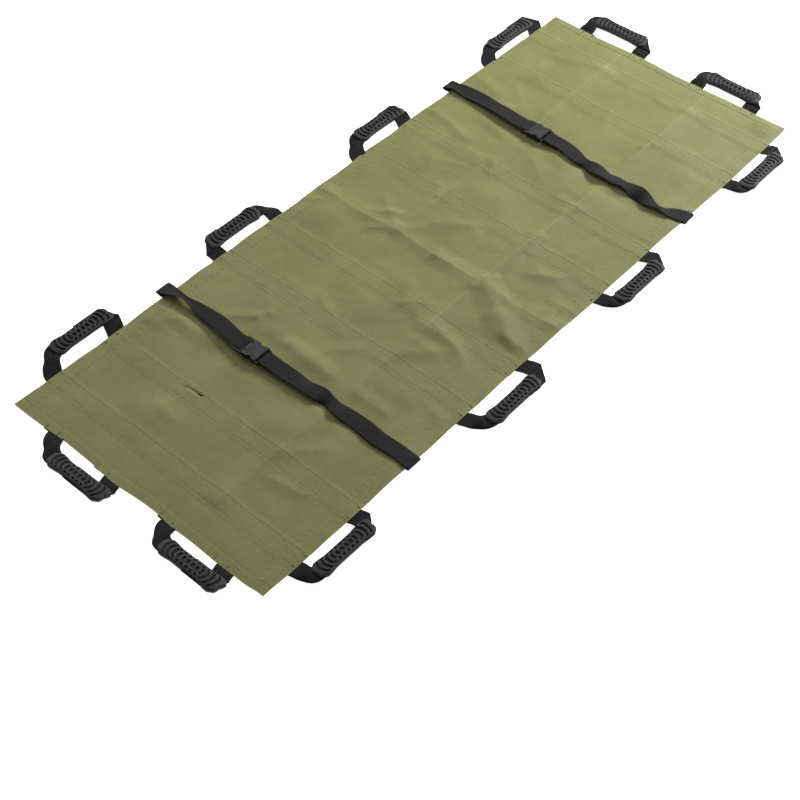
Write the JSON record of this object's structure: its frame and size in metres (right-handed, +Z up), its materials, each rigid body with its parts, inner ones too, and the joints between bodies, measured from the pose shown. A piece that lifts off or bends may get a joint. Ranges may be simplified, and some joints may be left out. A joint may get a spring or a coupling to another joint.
{
  "type": "folding stretcher",
  "caption": "Soft folding stretcher: a flat hemmed fabric sheet with carrying handles all round and two buckled patient straps.",
  "frame": {"origin": "on the floor under the middle of the open sheet", "axes": "+X along the sheet from the foot end to the head end, +Y towards the side that the straps' adjustable halves come from, +Z up"},
  "size_m": [1.9342, 0.8342, 0.0174],
  "materials": {
    "sheet_fabric": "olive-green coated oxford cloth, semi-matt",
    "handle_webbing": "black woven polypropylene webbing",
    "strap_webbing": "dark charcoal woven webbing",
    "grip_rubber": "dark grey moulded rubber with a raised tread",
    "buckle_plastic": "charcoal moulded acetal, fine matt grain"
  },
  "bodies": {
    "foot_middle": {"sheet_foot_middle": "sheet_fabric", "cross_webbing_3": "handle_webbing", "cross_webbing_4": "handle_webbing"},
    "foot_crease": {"sheet_foot_crease": "sheet_fabric", "foot_strap_left": "strap_webbing", "foot_strap_right": "strap_webbing", "foot_receiver": "buckle_plastic"},
    "foot_end": {"sheet_foot_end": "sheet_fabric", "cross_webbing_1": "handle_webbing", "cross_webbing_2": "handle_webbing", "end_tabs_foot_left": "handle_webbing", "end_tabs_foot_right": "handle_webbing"},
    "centre_crease": {"sheet_centre_crease": "sheet_fabric"},
    "head_middle": {"sheet_head_middle": "sheet_fabric", "cross_webbing_5": "handle_webbing", "cross_webbing_6": "handle_webbing"},
    "head_crease": {"sheet_head_crease": "sheet_fabric", "head_strap_left": "strap_webbing", "head_strap_right": "strap_webbing", "head_receiver": "buckle_plastic"},
    "head_end": {"sheet_head_end": "sheet_fabric", "cross_webbing_7": "handle_webbing", "cross_webbing_8": "handle_webbing", "end_tabs_head_left": "handle_webbing", "end_tabs_head_right": "handle_webbing"},
    "handle_left_1": {"loop_left_1": "handle_webbing", "grip_left_1": "grip_rubber"},
    "handle_left_2": {"loop_left_2": "handle_webbing", "grip_left_2": "grip_rubber"},
    "handle_left_3": {"loop_left_3": "handle_webbing", "grip_left_3": "grip_rubber"},
    "handle_left_4": {"loop_left_4": "handle_webbing", "grip_left_4": "grip_rubber"},
    "handle_right_1": {"loop_right_1": "handle_webbing", "grip_right_1": "grip_rubber"},
    "handle_right_2": {"loop_right_2": "handle_webbing", "grip_right_2": "grip_rubber"},
    "handle_right_3": {"loop_right_3": "handle_webbing", "grip_right_3": "grip_rubber"},
    "handle_right_4": {"loop_right_4": "handle_webbing", "grip_right_4": "grip_rubber"},
    "handle_foot_left": {"loop_foot_left": "handle_webbing", "grip_foot_left": "grip_rubber"},
    "handle_foot_right": {"loop_foot_right": "handle_webbing", "grip_foot_right": "grip_rubber"},
    "handle_head_left": {"loop_head_left": "handle_webbing", "grip_head_left": "grip_rubber"},
    "handle_head_right": {"loop_head_right": "handle_webbing", "grip_head_right": "grip_rubber"},
    "foot_plug": {"foot_plug": "buckle_plastic"},
    "foot_latch_arm_in": {"foot_latch_arm_in": "buckle_plastic"},
    "foot_latch_arm_out": {"foot_latch_arm_out": "buckle_plastic"},
    "head_plug": {"head_plug": "buckle_plastic"},
    "head_latch_arm_in": {"head_latch_arm_in": "buckle_plastic"},
    "head_latch_arm_out": {"head_latch_arm_out": "buckle_plastic"}
  },
  "joints": [
    {"name": "foot_fold_inner", "type": "hinge", "parent": "foot_middle", "child": "foot_crease", "pos_m": [-0.458, 0, 0.0026], "axis": [0, 1, 0], "range_deg": [0, 90]},
    {"name": "foot_fold_outer", "type": "hinge", "parent": "foot_crease", "child": "foot_end", "pos_m": [-0.514, 0, 0.0026], "axis": [0, 1, 0], "range_deg": [0, 90]},
    {"name": "centre_fold_foot_side", "type": "hinge", "parent": "foot_middle", "child": "centre_crease", "pos_m": [-0.06, 0, 0.0026], "axis": [0, -1, 0], "range_deg": [0, 90]},
    {"name": "centre_fold_head_side", "type": "hinge", "parent": "centre_crease", "child": "head_middle", "pos_m": [0.06, 0, 0.0026], "axis": [0, -1, 0], "range_deg": [0, 90]},
    {"name": "head_fold_inner", "type": "hinge", "parent": "head_middle", "child": "head_crease", "pos_m": [0.458, 0, 0.0026], "axis": [0, -1, 0], "range_deg": [0, 90]},
    {"name": "head_fold_outer", "type": "hinge", "parent": "head_crease", "child": "head_end", "pos_m": [0.514, 0, 0.0026], "axis": [0, -1, 0], "range_deg": [0, 90]},
    {"name": "handle_turn_left_1", "type": "hinge", "parent": "foot_end", "child": "handle_left_1", "pos_m": [-0.725, 0.3525, 0.0034], "axis": [1, 0, 0], "range_deg": [0, 156]},
    {"name": "handle_turn_left_2", "type": "hinge", "parent": "foot_middle", "child": "handle_left_2", "pos_m": [-0.235, 0.3525, 0.0034], "axis": [1, 0, 0], "range_deg": [0, 156]},
    {"name": "handle_turn_left_3", "type": "hinge", "parent": "head_middle", "child": "handle_left_3", "pos_m": [0.235, 0.3525, 0.0034], "axis": [1, 0, 0], "range_deg": [0, 156]},
    {"name": "handle_turn_left_4", "type": "hinge", "parent": "head_end", "child": "handle_left_4", "pos_m": [0.725, 0.3525, 0.0034], "axis": [1, 0, 0], "range_deg": [0, 156]},
    {"name": "handle_turn_right_1", "type": "hinge", "parent": "foot_end", "child": "handle_right_1", "pos_m": [-0.725, -0.3525, 0.0034], "axis": [-1, 0, 0], "range_deg": [0, 156]},
    {"name": "handle_turn_right_2", "type": "hinge", "parent": "foot_middle", "child": "handle_right_2", "pos_m": [-0.235, -0.3525, 0.0034], "axis": [-1, 0, 0], "range_deg": [0, 156]},
    {"name": "handle_turn_right_3", "type": "hinge", "parent": "head_middle", "child": "handle_right_3", "pos_m": [0.235, -0.3525, 0.0034], "axis": [-1, 0, 0], "range_deg": [0, 156]},
    {"name": "handle_turn_right_4", "type": "hinge", "parent": "head_end", "child": "handle_right_4", "pos_m": [0.725, -0.3525, 0.0034], "axis": [-1, 0, 0], "range_deg": [0, 156]},
    {"name": "handle_turn_foot_left", "type": "hinge", "parent": "foot_end", "child": "handle_foot_left", "pos_m": [-0.9025, 0.165, 0.0034], "axis": [0, 1, 0], "range_deg": [0, 156]},
    {"name": "handle_turn_foot_right", "type": "hinge", "parent": "foot_end", "child": "handle_foot_right", "pos_m": [-0.9025, -0.165, 0.0034], "axis": [0, 1, 0], "range_deg": [0, 156]},
    {"name": "handle_turn_head_left", "type": "hinge", "parent": "head_end", "child": "handle_head_left", "pos_m": [0.9025, 0.165, 0.0034], "axis": [0, -1, 0], "range_deg": [0, 156]},
    {"name": "handle_turn_head_right", "type": "hinge", "parent": "head_end", "child": "handle_head_right", "pos_m": [0.9025, -0.165, 0.0034], "axis": [0, -1, 0], "range_deg": [0, 156]},
    {"name": "foot_buckle_release", "type": "slide", "parent": "foot_crease", "child": "foot_plug", "axis": [0, 1, 0], "range_m": [0, 0.04], "deforming": ["foot_strap_left", "foot_latch_arm_in", "foot_latch_arm_out"]},
    {"name": "foot_latch_squeeze_in", "type": "hinge", "parent": "foot_plug", "child": "foot_latch_arm_in", "pos_m": [-0.4695, 0.102, 0.011], "axis": [0, 0, -1], "range_deg": [0, 9], "stiffness_Nm_per_rad": 0.3},
    {"name": "foot_latch_squeeze_out", "type": "hinge", "parent": "foot_plug", "child": "foot_latch_arm_out", "pos_m": [-0.4945, 0.102, 0.011], "axis": [0, 0, 1], "range_deg": [0, 9], "stiffness_Nm_per_rad": 0.3},
    {"name": "head_buckle_release", "type": "slide", "parent": "head_crease", "child": "head_plug", "axis": [0, 1, 0], "range_m": [0, 0.04], "deforming": ["head_strap_left", "head_latch_arm_in", "head_latch_arm_out"]},
    {"name": "head_latch_squeeze_in", "type": "hinge", "parent": "head_plug", "child": "head_latch_arm_in", "pos_m": [0.4695, 0.102, 0.011], "axis": [0, 0, 1], "range_deg": [0, 9], "stiffness_Nm_per_rad": 0.3},
    {"name": "head_latch_squeeze_out", "type": "hinge", "parent": "head_plug", "child": "head_latch_arm_out", "pos_m": [0.4945, 0.102, 0.011], "axis": [0, 0, -1], "range_deg": [0, 9], "stiffness_Nm_per_rad": 0.3}
  ],
  "couplings": [
    {"joint": "foot_fold_outer", "follows": "foot_fold_inner", "ratio": 1},
    {"joint": "centre_fold_head_side", "follows": "centre_fold_foot_side", "ratio": 1},
    {"joint": "head_fold_outer", "follows": "head_fold_inner", "ratio": 1},
    {"joint": "foot_latch_squeeze_out", "follows": "foot_latch_squeeze_in", "ratio": 1},
    {"joint": "head_latch_squeeze_out", "follows": "head_latch_squeeze_in", "ratio": 1}
  ]
}
